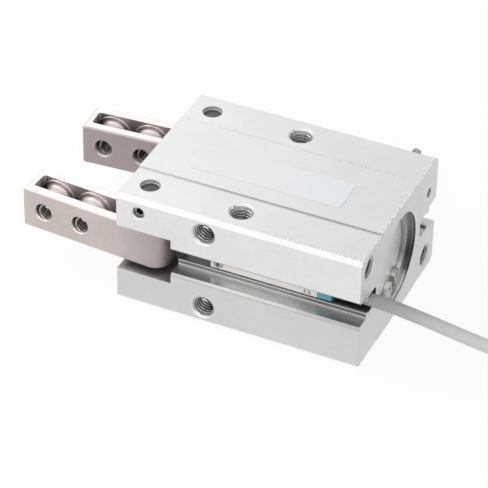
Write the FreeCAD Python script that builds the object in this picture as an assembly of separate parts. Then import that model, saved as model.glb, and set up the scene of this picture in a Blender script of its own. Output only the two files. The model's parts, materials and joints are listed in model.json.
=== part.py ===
import FreeCAD, Part

import math
import os

# Pneumatic angular gripper with a 20 mm bore, a proximity switch in its near slot and the switch's lead.
# Millimetres. X runs from the fingers (-X) to the tail (+X), Y goes across the body and Z is up.
# The origin is the middle of the body's underside, and the body rests on Z = 0.
# Left is the -Y side, as seen from the tail with Z up.

Vector = FreeCAD.Vector
ALONG = Vector(1, 0, 0)
ACROSS = Vector(0, 1, 0)
UP = Vector(0, 0, 1)
SIDES = {"left": -1, "right": 1}

# Clearances, all on the radius or on one face
press_gap = 0.01
running_gap = 0.03
bore_gap = 0.05
seat_gap = 0.05
fork_gap = 0.25
side_gap = 0.4

# Body: one extruded and machined block
body_length = 55.0
body_width = 42.0
body_height = 27.6
edge_chamfer = 0.9
band_width = 20.2
band_step = 0.3
plate_gap = 11.2
plate_reach = 12.5
pivot_inset = 5.0
pivot_spread = 30.3

# Switch slot in each narrow side: an open ledge, then a lipped groove
ledge_height = 5.9
ledge_bevel = 0.5
lip_opening = 3.4
lip_depth = 0.9
groove_height = 4.4
groove_depth = 4.1
groove_corner = 0.6
slot_wall = 2.2

# Tapped holes, with the radius at the root of the thread
m5_radius = 2.45
m5_mouth = 2.8
m5_depth = 8.0
m4_radius = 1.95
m4_mouth = 2.2
top_thread_inset = 25.85
top_thread_spread = 30.4
side_thread_inset = 19.9
side_thread_spread = 18.8
side_way_radius = 2.15
tail_thread_spread_y = 32.8
tail_thread_spread_z = 19.0
drill_point = 59.0

# Cylinder bore, closed at the tail by a cap and a retaining ring
bore_radius = 10.0
cap_seat_radius = 10.65
ring_depth = 1.7
ring_thickness = 1.0
ring_groove_bite = 0.65
ring_width = 2.4
ring_gap_angle = -72.0
ring_gap_half = 13.0
ring_end_half = 6.0
ring_ear_radius = 1.6
ring_ear_sink = 0.5
ring_eye_radius = 0.6
cap_thickness = 4.4
cap_chamfer = 0.3
seat_mouth = 0.3
seal_cord = 1.5
seal_groove_depth = 1.2

# Pivot pins and the set screws that hold them
pin_radius = 2.0
pin_recess = 1.1
pin_chamfer = 0.3
pin_mouth_radius = 2.2
grub_radius = 1.3
grub_mouth = 1.6
grub_length = 3.0
grub_socket = 1.5
grub_socket_depth = 1.4
grub_inset = 3.7

# Fingers: angles are from parallel, and opening is positive
finger_closed = -10.0
finger_open = 30.0
finger_rest = -4.2
finger_reach = 28.75
finger_width = 8.3
finger_height = 9.7
finger_lift = 0.25
finger_chamfer = 0.35
heel_back = 5.2
heel_radius = 3.5
knuckle_radius = 3.0
wall_outer = 2.0
wall_tip = 1.35
pocket_floor = 2.0
pocket_corner = 0.6
pocket_back = 6.2
finger_hole_first = 15.0
finger_hole_pitch = 9.0
spool_flange = 4.35
spool_flange_thickness = 0.3
spool_hub = 3.1
spool_fillet = 0.8

# Fork on each finger's inner side, and the head that drives both forks
drive_offset = 7.75
drive_pin_radius = 1.25
fork_height = 4.4
fork_wall = 1.3
fork_round = 1.15
fork_tip = 9.3
cheek_thickness = 1.8
cheek_radius = 1.9
head_web_half = 4.5
head_front = 2.6
head_back = 3.4
drive_pin_recess = 0.2

# Piston and rod
rod_radius = 4.0
rod_nose_radius = 2.2
rod_nose_length = 4.0
rod_tail_radius = 1.9
piston_length = 9.0
stop_gap = 0.2
bumper_thickness = 1.0
bumper_inner = 5.4
bumper_outer = 8.4
lip_seal_width = 1.8
lip_seal_depth = 1.6
magnet_width = 2.4
magnet_depth = 2.2
seal_to_front = 1.4
magnet_to_back = 1.6
nut_across = 7.0
nut_height = 3.2
nut_pocket_radius = 4.5
rod_seal_radius = 6.5
rod_seal_length = 2.6
bush_wall = 1.2
bush_inset = 0.5
bush_to_seal = 1.0

# Air ports on the right side, with the drilled ways to the chambers
port_inset = 7.8
port_rise = 7.0
rear_port_inset = 12.2
rear_port_drop = 6.2
port_depth = 5.0
way_radius = 0.9
way_y = 16.4
way_inset = 1.25
plug_radius = 1.1
plug_length = 1.6
nipple_collar_across = 6.4
nipple_collar = 1.6
nipple_stem_radius = 1.1
nipple_barb_radius = 1.35
nipple_reach = 8.0
nipple_bore_radius = 0.6
nipple_barbs = 2
gasket_thickness = 0.5
gasket_radius = 3.1

# Proximity switch, its clamping screw and its lead
switch_inset = 11.1
switch_length = 24.05
switch_cap_length = 3.2
switch_body_height = 4.0
switch_neck_height = 2.7
switch_neck_out = 0.2
switch_gap = 0.2
switch_corner = 0.5
screw_from_front = 1.75
screw_radius = 1.2
screw_length = 3.2
screw_slot_width = 0.45
screw_slot_depth = 0.7
screw_slot_turn = 25.0
lead_diameter = 2.8

# Coil of the stored lead, lying on the floor beyond the tail
coil_from_tail = 43.5
coil_columns = 5
coil_rows = 4
coil_mean_radius = 15.1
core_radius = 0.45
core_length = 22.0
core_splay = 5.0
core_side_step = 0.7
core_sleeve_length = 16.5
core_wire_radius = 0.27
core_exit_angle = 20.0

# Sticker on the raised band
label_inset = 8.5
label_length = 35.2
label_near = -6.1
label_width = 9.2
label_thickness = 0.1
label_corner = 1.0
label_turn = 0.7

# Places that follow from the sizes above
front_x = -body_length / 2
tail_x = body_length / 2
side_y = body_width / 2
mid_z = body_height / 2
grub_height = body_height - grub_inset
plate_end_x = front_x + plate_reach
pivot_x = front_x + pivot_inset
top_thread_x = front_x + top_thread_inset
side_thread_x = front_x + side_thread_inset
label_front = front_x + label_inset
port_x = tail_x - port_inset
rear_port_x = tail_x - rear_port_inset
rear_port_z = mid_z - rear_port_drop
switch_back = tail_x - switch_inset
switch_front = switch_back - switch_length
coil_x = tail_x + coil_from_tail
pivot_y = pivot_spread / 2
finger_z = mid_z + finger_lift
fork_mid = (finger_open + finger_closed) / 2
half_swing = math.radians((finger_open - finger_closed) / 2)
drive_y = pivot_y - drive_offset
drive_x = pivot_x - drive_offset * math.tan(math.radians(finger_rest - fork_mid))
drive_ratio = drive_offset * math.tan(half_swing) / half_swing
travel_open = drive_ratio * math.radians(finger_open - finger_rest)
travel_closed = drive_ratio * math.radians(finger_rest - finger_closed)
cheek_z = fork_height / 2 + side_gap
head_half_height = cheek_z + cheek_thickness
ring_back_x = tail_x - ring_depth - ring_thickness
cap_back_x = ring_back_x - seat_gap / 2
cap_front_x = cap_back_x - cap_thickness
rear_stop_x = cap_front_x - bumper_thickness
piston_back_x = rear_stop_x - stop_gap - travel_closed
piston_front_x = piston_back_x - piston_length
front_stop_x = piston_front_x - travel_open - stop_gap
chamber_front_x = front_stop_x - bumper_thickness
way_front_x = chamber_front_x + way_inset
bush_length = chamber_front_x - rod_seal_length - bush_to_seal - plate_end_x - bush_inset
rod_front_x = drive_x + head_back
slot_end_y = bore_radius + slot_wall
groove_y = slot_end_y + groove_depth
lip_y = groove_y + lip_depth
switch_y = slot_end_y + groove_depth / 2
lead_radius = lead_diameter / 2
coil_outer_radius = coil_mean_radius + coil_columns * lead_radius
coil_inner_radius = coil_mean_radius - coil_columns * lead_radius
coil_turn_radius = coil_outer_radius - lead_radius
coil_height = coil_rows * lead_diameter
coil_y = coil_turn_radius - switch_y
port_z = mid_z + port_rise


def box(x0, x1, y0, y1, z0, z1):
    return Part.makeBox(x1 - x0, y1 - y0, z1 - z0, Vector(x0, y0, z0))


def rod(start, direction, radius, length):
    return Part.makeCylinder(radius, length, start, direction)


def ring(start, direction, outer, inner, length):
    return rod(start, direction, outer, length).cut(rod(start, direction, inner, length))


def flat_prism(points, direction):
    closed = Part.makePolygon(points + [points[0]])
    return Part.Face(closed).extrude(direction)


def hexagon(centre, across, length, direction, first):
    """Hexagonal prism from centre along direction, with one corner towards first."""
    corner = across / math.sqrt(3)
    second = direction.cross(first)
    points = []
    for index in range(6):
        turn = math.radians(60 * index)
        points.append(centre + first * (corner * math.cos(turn)) + second * (corner * math.sin(turn)))
    return flat_prism(points, direction * length)


def drilled(mouth, into, radius, depth, mouth_radius):
    """Blind hole as a cutter: chamfered mouth, straight wall and drill point."""
    lead_in = mouth_radius - radius
    point = radius / math.tan(math.radians(drill_point))
    hole = rod(mouth, into, radius, depth)
    hole = hole.fuse(Part.makeCone(mouth_radius, radius, lead_in, mouth, into))
    return hole.fuse(Part.makeCone(radius, 0, point, mouth + into * depth, into))


def body_profile():
    """Section of the block across Y and Z: chamfered corners and a raised band on both wide faces."""
    half_band = band_width / 2
    low = band_step
    high = body_height - band_step
    outline = [
        (-half_band, 0), (half_band, 0), (half_band, low), (side_y - edge_chamfer, low),
        (side_y, low + edge_chamfer), (side_y, high - edge_chamfer), (side_y - edge_chamfer, high),
        (half_band, high), (half_band, body_height), (-half_band, body_height), (-half_band, high),
        (edge_chamfer - side_y, high), (-side_y, high - edge_chamfer), (-side_y, low + edge_chamfer),
        (edge_chamfer - side_y, low), (-half_band, low)]
    points = [Vector(front_x, y, z) for y, z in outline]
    return flat_prism(points, ALONG * body_length)


def slot_cutter(side):
    """Open ledge, lips and groove of the switch slot, cut along the whole side."""
    ledge = ledge_height / 2
    lip = lip_opening / 2
    groove = groove_height / 2
    half = [
        (side_y, ledge + ledge_bevel), (side_y - ledge_bevel, ledge), (lip_y, ledge), (lip_y, lip),
        (groove_y, lip), (groove_y, groove), (slot_end_y + groove_corner, groove),
        (slot_end_y, groove - groove_corner)]
    outline = half + [(y, -z) for y, z in reversed(half)]
    points = [Vector(front_x, side * y, mid_z + z) for y, z in outline]
    return flat_prism(points, ALONG * body_length)


def make_body():
    block = body_profile()
    cutters = [box(front_x, plate_end_x, -side_y, side_y, mid_z - plate_gap / 2, mid_z + plate_gap / 2)]
    for side in SIDES.values():
        cutters.append(slot_cutter(side))
    cutters += bore_cutters() + pivot_cutters() + thread_cutters() + air_cutters()
    for cutter in cutters:
        block = block.cut(cutter)
    return block.removeSplitter()


def bore_cutters():
    axis_point = Vector(0, 0, mid_z)
    bore = rod(axis_point + ALONG * chamber_front_x, ALONG, bore_radius, tail_x - chamber_front_x)
    seat = rod(axis_point + ALONG * cap_front_x, ALONG, cap_seat_radius, tail_x - cap_front_x)
    mouth = Part.makeCone(cap_seat_radius + seat_mouth, cap_seat_radius, seat_mouth,
                          axis_point + ALONG * tail_x, ALONG * -1)
    groove = rod(axis_point + ALONG * (ring_back_x - seat_gap / 2), ALONG,
                 cap_seat_radius + ring_groove_bite, ring_thickness + seat_gap)
    way = rod(axis_point + ALONG * plate_end_x, ALONG, rod_radius + running_gap,
              chamber_front_x - plate_end_x)
    bush_seat = rod(axis_point + ALONG * plate_end_x, ALONG, rod_radius + bush_wall + press_gap,
                    bush_inset + bush_length)
    seal_seat = rod(axis_point + ALONG * (chamber_front_x - rod_seal_length), ALONG,
                    rod_seal_radius + press_gap, rod_seal_length)
    return [bore, seat, mouth, groove, way, bush_seat, seal_seat]


def pivot_cutters():
    cutters = []
    for side in SIDES.values():
        foot = Vector(pivot_x, side * pivot_y, 0)
        cutters.append(rod(foot, UP, pin_radius + press_gap, body_height))
        cutters.append(rod(foot, UP, pin_mouth_radius, pin_recess))
        cutters.append(rod(foot + UP * (body_height - pin_recess), UP, pin_mouth_radius, pin_recess))
        mouth = Vector(pivot_x, side * side_y, grub_height)
        into = ACROSS * -side
        cutters.append(rod(mouth, into, grub_radius + press_gap, side_y - pivot_y))
        cutters.append(Part.makeCone(grub_mouth, grub_radius, grub_mouth - grub_radius, mouth, into))
    return cutters


def thread_cutters():
    """Mounting threads; the side ones have a plain way right through between them."""
    cutters = []
    for side in SIDES.values():
        top = Vector(top_thread_x, side * top_thread_spread / 2, body_height - band_step)
        cutters.append(drilled(top, UP * -1, m5_radius, m5_depth, m5_mouth))
        bottom = Vector(top_thread_x, side * top_thread_spread / 2, band_step)
        cutters.append(drilled(bottom, UP, m5_radius, m5_depth, m5_mouth))
        for level in (-1, 1):
            mouth = Vector(side_thread_x, side * side_y, mid_z + level * side_thread_spread / 2)
            cutters.append(drilled(mouth, ACROSS * -side, m5_radius, m5_depth, m5_mouth))
            cutters.append(rod(mouth, ACROSS * -side, side_way_radius, side_y))
        rear = Vector(tail_x, side * tail_thread_spread_y / 2, mid_z - side * tail_thread_spread_z / 2)
        cutters.append(drilled(rear, ALONG * -1, m5_radius, m5_depth, m5_mouth))
    return cutters


def air_cutters():
    """Two ports: the upper one feeds the front chamber by a plugged way, the lower the rear one aslant."""
    inward = ACROSS * -1
    upper = Vector(port_x, side_y, port_z)
    lower = Vector(rear_port_x, side_y, rear_port_z)
    long_way = rod(Vector(way_front_x, way_y, port_z), ALONG, way_radius, tail_x - way_front_x)
    plug_seat = rod(Vector(tail_x - plug_length, way_y, port_z), ALONG, plug_radius + press_gap, plug_length)
    front_way = rod(Vector(way_front_x, way_y, port_z), inward, way_radius, way_y)
    rear_way_start = Vector(rear_port_x, way_y, rear_port_z)
    bore_wall_y = math.sqrt(bore_radius ** 2 - rear_port_drop ** 2)
    rear_way_end = Vector(rear_stop_x, bore_wall_y - way_radius, rear_port_z)
    aslant = rear_way_end - rear_way_start
    rear_way = rod(rear_way_start, aslant, way_radius, aslant.Length)
    ports = [drilled(place, inward, m5_radius, port_depth, m5_mouth) for place in (upper, lower)]
    return ports + [long_way, plug_seat, front_way, rear_way]


def finger_outline(z):
    """Plan of the left finger when parallel: straight blade, rounded heel and knuckle."""
    half = finger_width / 2
    tip_x = pivot_x - finger_reach
    outer_y = -pivot_y - half
    inner_y = -pivot_y + half
    back_x = pivot_x + heel_back
    heel_x = back_x - heel_radius
    knuckle_x = back_x - knuckle_radius
    bend = math.sqrt(0.5)
    heel_mid = Vector(heel_x + heel_radius * bend, outer_y + heel_radius * (1 - bend), z)
    knuckle_mid = Vector(knuckle_x + knuckle_radius * bend, inner_y - knuckle_radius * (1 - bend), z)
    tip_outer = Vector(tip_x, outer_y, z)
    heel_start = Vector(heel_x, outer_y, z)
    heel_end = Vector(back_x, outer_y + heel_radius, z)
    knuckle_start = Vector(back_x, inner_y - knuckle_radius, z)
    knuckle_end = Vector(knuckle_x, inner_y, z)
    tip_inner = Vector(tip_x, inner_y, z)
    edges = [
        Part.LineSegment(tip_outer, heel_start).toShape(),
        Part.Arc(heel_start, heel_mid, heel_end).toShape(),
        Part.LineSegment(heel_end, knuckle_start).toShape(),
        Part.Arc(knuckle_start, knuckle_mid, knuckle_end).toShape(),
        Part.LineSegment(knuckle_end, tip_inner).toShape(),
        Part.LineSegment(tip_inner, tip_outer).toShape()]
    return Part.Face(Part.Wire(edges))


def finger_pocket():
    """Open-topped pocket with rounded corners, between the two walls of the blade."""
    front = pivot_x - finger_reach + wall_tip
    back = pivot_x - pocket_back
    half = finger_width / 2 - wall_outer
    floor_z = finger_z - finger_height / 2 + pocket_floor
    top = finger_z + finger_height / 2
    pocket = box(front, back, -pivot_y - half, -pivot_y + half, floor_z, top)
    corners = [edge for edge in pocket.Edges if abs(edge.tangentAt(0).z) > 0.9]
    return pocket.makeFillet(pocket_corner, corners)


def finger_spool(x):
    """Spool that carries the thread between the walls: a flange on each wall and a hub with filleted ends."""
    centre = Vector(x, -pivot_y, finger_z)
    sunk = finger_width / 2 - wall_outer / 2
    flange = finger_width / 2 - wall_outer - spool_flange_thickness
    neck = flange - spool_fillet
    shoulder = spool_hub + spool_fillet
    reach = spool_fillet * math.sqrt(0.5)

    def at(across, out):
        return centre + Vector(0, across, out)

    near = Part.Arc(at(-flange, shoulder), at(-neck - reach, shoulder - reach),
                    at(-neck, spool_hub)).toShape()
    far = Part.Arc(at(neck, spool_hub), at(neck + reach, shoulder - reach), at(flange, shoulder)).toShape()
    wall_far = [at(flange, shoulder), at(flange, spool_flange), at(sunk, spool_flange), at(sunk, 0)]
    wall_near = [at(-sunk, 0), at(-sunk, spool_flange), at(-flange, spool_flange), at(-flange, shoulder)]
    hub = [at(-neck, spool_hub), at(neck, spool_hub)]
    edges = [near, far]
    for corners in (hub, wall_far + wall_near):
        for start, end in zip(corners, corners[1:]):
            edges.append(Part.LineSegment(start, end).toShape())
    outline = Part.Wire(Part.__sortEdges__(edges))
    return Part.Face(outline).revolve(centre, ACROSS, 360)


def finger_fork():
    """Slotted arm that reaches from the knuckle to the drive pin."""
    half = drive_pin_radius + fork_gap + fork_wall
    low = mid_z - fork_height / 2
    arm = box(-half, half, 0, fork_tip, low, low + fork_height)
    corners = []
    for edge in arm.Edges:
        upright = abs(edge.tangentAt(0).z) > 0.9
        if upright and edge.CenterOfMass.y > fork_tip / 2:
            corners.append(edge)
    arm = arm.makeFillet(fork_round, corners)
    slot_half = drive_pin_radius + fork_gap
    root = drive_offset - fork_gap
    slot = box(-slot_half, slot_half, root, fork_tip, low, low + fork_height)
    slot = slot.fuse(rod(Vector(0, root, low), UP, slot_half, fork_height))
    arm = arm.cut(slot)
    arm.rotate(Vector(0, 0, 0), UP, -fork_mid)
    arm.translate(Vector(pivot_x, -pivot_y, 0))
    return arm


def make_finger(side):
    low = finger_z - finger_height / 2
    blade = finger_outline(low).extrude(UP * finger_height)
    rim = []
    for edge in blade.Edges:
        if edge.BoundBox.ZLength < finger_chamfer:
            rim.append(edge)
    blade = blade.makeChamfer(finger_chamfer, rim)
    blade = blade.cut(finger_pocket())
    hole_x = [pivot_x - finger_hole_first - finger_hole_pitch * index for index in range(2)]
    for x in hole_x:
        blade = blade.fuse(finger_spool(x))
    blade = blade.fuse(finger_fork())
    half = finger_width / 2
    for x in hole_x:
        for face in (-1, 1):
            mouth = Vector(x, -pivot_y + face * half, finger_z)
            lead_in = m4_mouth - m4_radius
            blade = blade.cut(Part.makeCone(m4_mouth, m4_radius, lead_in, mouth, ACROSS * -face))
        blade = blade.cut(rod(Vector(x, -pivot_y - half, finger_z), ACROSS, m4_radius, finger_width))
    foot = Vector(pivot_x, -pivot_y, low)
    blade = blade.cut(rod(foot, UP, pin_radius + running_gap, finger_height))
    blade = blade.removeSplitter()
    blade.rotate(foot, UP, finger_rest)
    if side > 0:
        blade = blade.mirror(Vector(0, 0, 0), ACROSS)
    return blade


def make_pivot_pin(side):
    length = body_height - 2 * pin_recess
    pin = rod(Vector(pivot_x, side * pivot_y, pin_recess), UP, pin_radius, length)
    ends = [edge for edge in pin.Edges if edge.BoundBox.ZLength < pin_chamfer]
    return pin.makeChamfer(pin_chamfer, ends)


def make_set_screws():
    screws = []
    for side in SIDES.values():
        inner = Vector(pivot_x, side * (pivot_y + pin_radius + press_gap), grub_height)
        outward = ACROSS * side
        screw = rod(inner, outward, grub_radius, grub_length)
        socket = hexagon(inner + outward * (grub_length - grub_socket_depth), grub_socket,
                         grub_socket_depth, outward, UP)
        screws.append(screw.cut(socket))
    return Part.makeCompound(screws)


def make_drive_head():
    """Yoke on the rod: a web on the axis and two cheeks that hold the drive pins past the forks."""
    web = box(drive_x - head_front, drive_x + head_back, -head_web_half, head_web_half,
              mid_z - head_half_height, mid_z + head_half_height)
    cheek = box(drive_x - cheek_radius, drive_x + cheek_radius, -drive_y, drive_y,
                mid_z - head_half_height, mid_z + head_half_height)
    for side in SIDES.values():
        foot = Vector(drive_x, side * drive_y, mid_z - head_half_height)
        cheek = cheek.fuse(rod(foot, UP, cheek_radius, 2 * head_half_height))
    reach = drive_y + cheek_radius
    for side in SIDES.values():
        inner, outer = sorted((side * head_web_half, side * reach))
        window = box(drive_x - head_back, drive_x + head_back, inner, outer, mid_z - cheek_z, mid_z + cheek_z)
        cheek = cheek.cut(window)
    head = web.fuse(cheek)
    for side in SIDES.values():
        foot = Vector(drive_x, side * drive_y, mid_z - head_half_height)
        head = head.cut(rod(foot, UP, drive_pin_radius + press_gap, 2 * head_half_height))
    nose = Vector(rod_front_x - rod_nose_length, 0, mid_z)
    head = head.cut(rod(nose, ALONG, rod_nose_radius + press_gap, rod_nose_length))
    return head.removeSplitter()


def make_drive_pins():
    pins = []
    for side in SIDES.values():
        foot = Vector(drive_x, side * drive_y, mid_z - head_half_height + drive_pin_recess)
        pins.append(rod(foot, UP, drive_pin_radius, 2 * (head_half_height - drive_pin_recess)))
    return Part.makeCompound(pins)


def make_piston_rod():
    nose = rod(Vector(rod_front_x - rod_nose_length, 0, mid_z), ALONG, rod_nose_radius, rod_nose_length)
    shank = rod(Vector(rod_front_x, 0, mid_z), ALONG, rod_radius, piston_front_x - rod_front_x)
    tail = rod(Vector(piston_front_x, 0, mid_z), ALONG, rod_tail_radius, piston_length)
    return nose.fuse(shank).fuse(tail).removeSplitter()


def make_piston():
    """Turned piston with a seal groove in front, a magnet groove behind and a pocket for the nut."""
    start = Vector(piston_front_x, 0, mid_z)
    radius = bore_radius - bore_gap
    piston = rod(start, ALONG, radius, piston_length)
    piston = piston.cut(rod(start, ALONG, rod_tail_radius + press_gap, piston_length))
    pocket = Vector(piston_back_x - nut_height, 0, mid_z)
    piston = piston.cut(rod(pocket, ALONG, nut_pocket_radius, nut_height))
    seal_at = Vector(piston_front_x + seal_to_front, 0, mid_z)
    piston = piston.cut(ring(seal_at, ALONG, bore_radius, radius - lip_seal_depth, lip_seal_width))
    magnet_at = Vector(piston_back_x - magnet_to_back - magnet_width, 0, mid_z)
    return piston.cut(ring(magnet_at, ALONG, bore_radius, radius - magnet_depth, magnet_width))


def make_piston_seal():
    radius = bore_radius - bore_gap
    at = Vector(piston_front_x + seal_to_front + press_gap, 0, mid_z)
    return ring(at, ALONG, bore_radius - press_gap, radius - lip_seal_depth + press_gap,
                lip_seal_width - 2 * press_gap)


def make_magnet():
    radius = bore_radius - bore_gap
    at = Vector(piston_back_x - magnet_to_back - magnet_width + press_gap, 0, mid_z)
    return ring(at, ALONG, radius - bore_gap, radius - magnet_depth + press_gap, magnet_width - 2 * press_gap)


def make_piston_nut():
    at = Vector(piston_back_x - nut_height, 0, mid_z)
    nut = hexagon(at, nut_across, nut_height, ALONG, UP)
    return nut.cut(rod(at, ALONG, rod_tail_radius + press_gap, nut_height))


def make_rod_bush():
    at = Vector(plate_end_x + bush_inset, 0, mid_z)
    return ring(at, ALONG, rod_radius + bush_wall, rod_radius + running_gap, bush_length)


def make_rod_seal():
    at = Vector(chamber_front_x - rod_seal_length + press_gap, 0, mid_z)
    return ring(at, ALONG, rod_seal_radius, rod_radius + press_gap, rod_seal_length - 2 * press_gap)


def make_bumper(x):
    return ring(Vector(x, 0, mid_z), ALONG, bumper_outer, bumper_inner, bumper_thickness)


def make_rear_cap():
    """Turned cap: flat face with a chamfered edge, and a seal groove round it."""
    radius = cap_seat_radius - bore_gap
    at = Vector(cap_front_x, 0, mid_z)
    cap = rod(at, ALONG, radius, cap_thickness)
    ends = [edge for edge in cap.Edges if edge.BoundBox.XLength < cap_chamfer]
    cap = cap.makeChamfer(cap_chamfer, ends)
    groove = Vector(cap_front_x + (cap_thickness - seal_cord) / 2, 0, mid_z)
    return cap.cut(ring(groove, ALONG, cap_seat_radius, radius - seal_groove_depth, seal_cord))


def make_cap_seal():
    """O-ring, round in section, in the groove of the rear cap."""
    groove_floor = cap_seat_radius - bore_gap - seal_groove_depth
    section = (cap_seat_radius - groove_floor) / 2 - press_gap
    centre = Vector(cap_front_x + cap_thickness / 2, 0, mid_z)
    return Part.makeTorus((cap_seat_radius + groove_floor) / 2, section, centre, ALONG)


def make_retaining_ring():
    """Internal ring with a gap near the bottom and an eye in each ear."""
    outer = cap_seat_radius + ring_groove_bite - seat_gap
    inner = outer - ring_width
    at = Vector(ring_back_x, 0, mid_z)
    band = ring(at, ALONG, outer, inner, ring_thickness)
    ear_at = inner - ring_ear_sink
    eyes = []
    for turn in (ring_gap_angle - ring_gap_half, ring_gap_angle + ring_gap_half):
        angle = math.radians(turn)
        centre = at + Vector(0, ear_at * math.cos(angle), ear_at * math.sin(angle))
        band = band.fuse(rod(centre, ALONG, ring_ear_radius, ring_thickness))
        eyes.append(rod(centre, ALONG, ring_eye_radius, ring_thickness))
    half = math.radians(ring_end_half)
    middle = math.radians(ring_gap_angle)
    far = 2 * outer
    wedge = [at]
    for turn in (middle - half, middle + half):
        wedge.append(at + Vector(0, far * math.cos(turn), far * math.sin(turn)))
    band = band.cut(flat_prism(wedge, ALONG * ring_thickness))
    for eye in eyes:
        band = band.cut(eye)
    return band.removeSplitter()


def make_passage_plug():
    at = Vector(tail_x - plug_length, way_y, port_z)
    plug = rod(at, ALONG, plug_radius, plug_length)
    ends = [edge for edge in plug.Edges if edge.BoundBox.XMin > tail_x - plug_length / 2]
    return plug.makeChamfer(pin_chamfer, [edge for edge in ends if edge.BoundBox.XLength < pin_chamfer])


def make_hose_nipple():
    """Barbed hose nipple in the upper port: screwed shank, six-sided collar and barbed stem."""
    face = Vector(port_x, side_y, port_z)
    collar_at = face + ACROSS * gasket_thickness
    stem_at = collar_at + ACROSS * nipple_collar
    end_y = side_y + nipple_reach
    shank_length = port_depth - press_gap
    nipple = rod(face - ACROSS * shank_length, ACROSS, m5_radius - press_gap, shank_length + gasket_thickness)
    nipple = nipple.fuse(hexagon(collar_at, nipple_collar_across, nipple_collar, ACROSS, UP))
    nipple = nipple.fuse(rod(stem_at, ACROSS, nipple_stem_radius, end_y - stem_at.y))
    barb_length = (end_y - stem_at.y) / (nipple_barbs + 1)
    for index in range(nipple_barbs):
        barb_at = Vector(port_x, end_y - barb_length * (index + 1), port_z)
        barb = Part.makeCone(nipple_barb_radius, nipple_stem_radius, barb_length, barb_at, ACROSS)
        nipple = nipple.fuse(barb)
    whole = end_y - face.y + shank_length
    nipple = nipple.cut(rod(face - ACROSS * shank_length, ACROSS, nipple_bore_radius, whole))
    return nipple.removeSplitter()


def make_nipple_gasket():
    at = Vector(port_x, side_y, port_z)
    return ring(at, ACROSS, gasket_radius, m5_radius + press_gap, gasket_thickness)


def switch_section(x0, x1):
    """Body of the switch: a rounded bar in the groove and a narrow neck between the lips."""
    outer_y = groove_y - switch_gap
    inner_y = slot_end_y + switch_gap
    bar = box(x0, x1, -outer_y, -inner_y, mid_z - switch_body_height / 2, mid_z + switch_body_height / 2)
    long_edges = [edge for edge in bar.Edges if abs(edge.tangentAt(0).x) > 0.9]
    bar = bar.makeFillet(switch_corner, long_edges)
    neck_y = lip_y - switch_neck_out
    neck = box(x0, x1, -neck_y, -inner_y - switch_body_height / 2, mid_z - switch_neck_height / 2,
               mid_z + switch_neck_height / 2)
    return bar.fuse(neck).removeSplitter()


def make_switch_body():
    body = switch_section(switch_front, switch_back)
    return body.cut(screw_blank(screw_radius + press_gap))


def screw_blank(radius):
    neck_y = lip_y - switch_neck_out
    outer = Vector(switch_front + screw_from_front, -neck_y, mid_z)
    return rod(outer, ACROSS, radius, screw_length)


def make_switch_screw():
    """Slotted screw that clamps the switch against the back of its groove."""
    screw = screw_blank(screw_radius)
    face_y = switch_neck_out - lip_y
    x = switch_front + screw_from_front
    slot = box(x - screw_slot_width / 2, x + screw_slot_width / 2, face_y, face_y + screw_slot_depth,
               mid_z - screw_radius, mid_z + screw_radius)
    slot.rotate(Vector(x, face_y, mid_z), ACROSS, screw_slot_turn)
    return screw.cut(slot)


def make_switch_cap():
    return switch_section(switch_back, switch_back + switch_cap_length)


def lead_route():
    """Points of the lead from the switch to the coil, chosen by hand."""
    start_x = switch_back + switch_cap_length
    return [
        Vector(start_x, -switch_y, mid_z), Vector(tail_x + 1.5, -switch_y, mid_z),
        Vector(tail_x + 11.5, -switch_y - 0.45, mid_z - 0.8),
        Vector(tail_x + 22.0, -switch_y - 0.65, mid_z - 2.4),
        Vector(coil_x - 11.0, -switch_y - 0.65, mid_z - 3.6)]


def rounded_path(points, name):
    """Straight runs joined by tangent arcs, each as large as its two runs allow; prints the radii."""
    edges = []
    radii = []
    here = points[0]
    for before, corner, after in zip(points, points[1:], points[2:]):
        run_in = corner - before
        run_out = after - corner
        shorter = min(run_in.Length, run_out.Length)
        turn = run_in.getAngle(run_out)
        setback = 0.45 * shorter
        radius = setback / math.tan(turn / 2)
        way_in = Vector(run_in).normalize()
        way_out = Vector(run_out).normalize()
        arc_start = corner - way_in * setback
        arc_end = corner + way_out * setback
        inward = (way_out - way_in).normalize()
        middle = corner + inward * (radius / math.cos(turn / 2) - radius)
        edges.append(Part.LineSegment(here, arc_start).toShape())
        edges.append(Part.Arc(arc_start, middle, arc_end).toShape())
        radii.append(round(radius, 1))
        here = arc_end
    edges.append(Part.LineSegment(here, points[-1]).toShape())
    print(name, "arc radii", radii)
    return Part.Wire(edges)


def make_lead():
    path = rounded_path(lead_route(), "lead")
    direction = lead_route()[1] - lead_route()[0]
    circle = Part.Wire(Part.makeCircle(lead_radius, lead_route()[0], direction))
    tube = path.makePipeShell([circle], True, False)
    expected = math.pi * lead_radius ** 2 * path.Length
    print("lead volume", round(tube.Volume, 1), "of", round(expected, 1), "length", round(path.Length, 1))
    return tube


def make_coil():
    return ring(Vector(coil_x, coil_y, 0), UP, coil_outer_radius, coil_inner_radius, coil_height)


def make_core(side):
    """One stripped core of the lead, lying on the floor where the last turn leaves the coil."""
    leave = math.radians(core_exit_angle)
    out = Vector(math.cos(leave), math.sin(leave), 0)
    along = Vector(-math.sin(leave), math.cos(leave), 0)
    clear = coil_outer_radius + lead_radius + core_radius
    run = math.sqrt(clear ** 2 - coil_turn_radius ** 2)
    start = Vector(coil_x, coil_y, core_radius) + along * run
    start = start + out * (coil_turn_radius + side * core_side_step)
    way = FreeCAD.Rotation(UP, -side * core_splay).multVec(along)
    core = rod(start, way, core_radius, core_sleeve_length)
    wire = rod(start + way * core_sleeve_length, way, core_wire_radius, core_length - core_sleeve_length)
    return core.fuse(wire)


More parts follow.
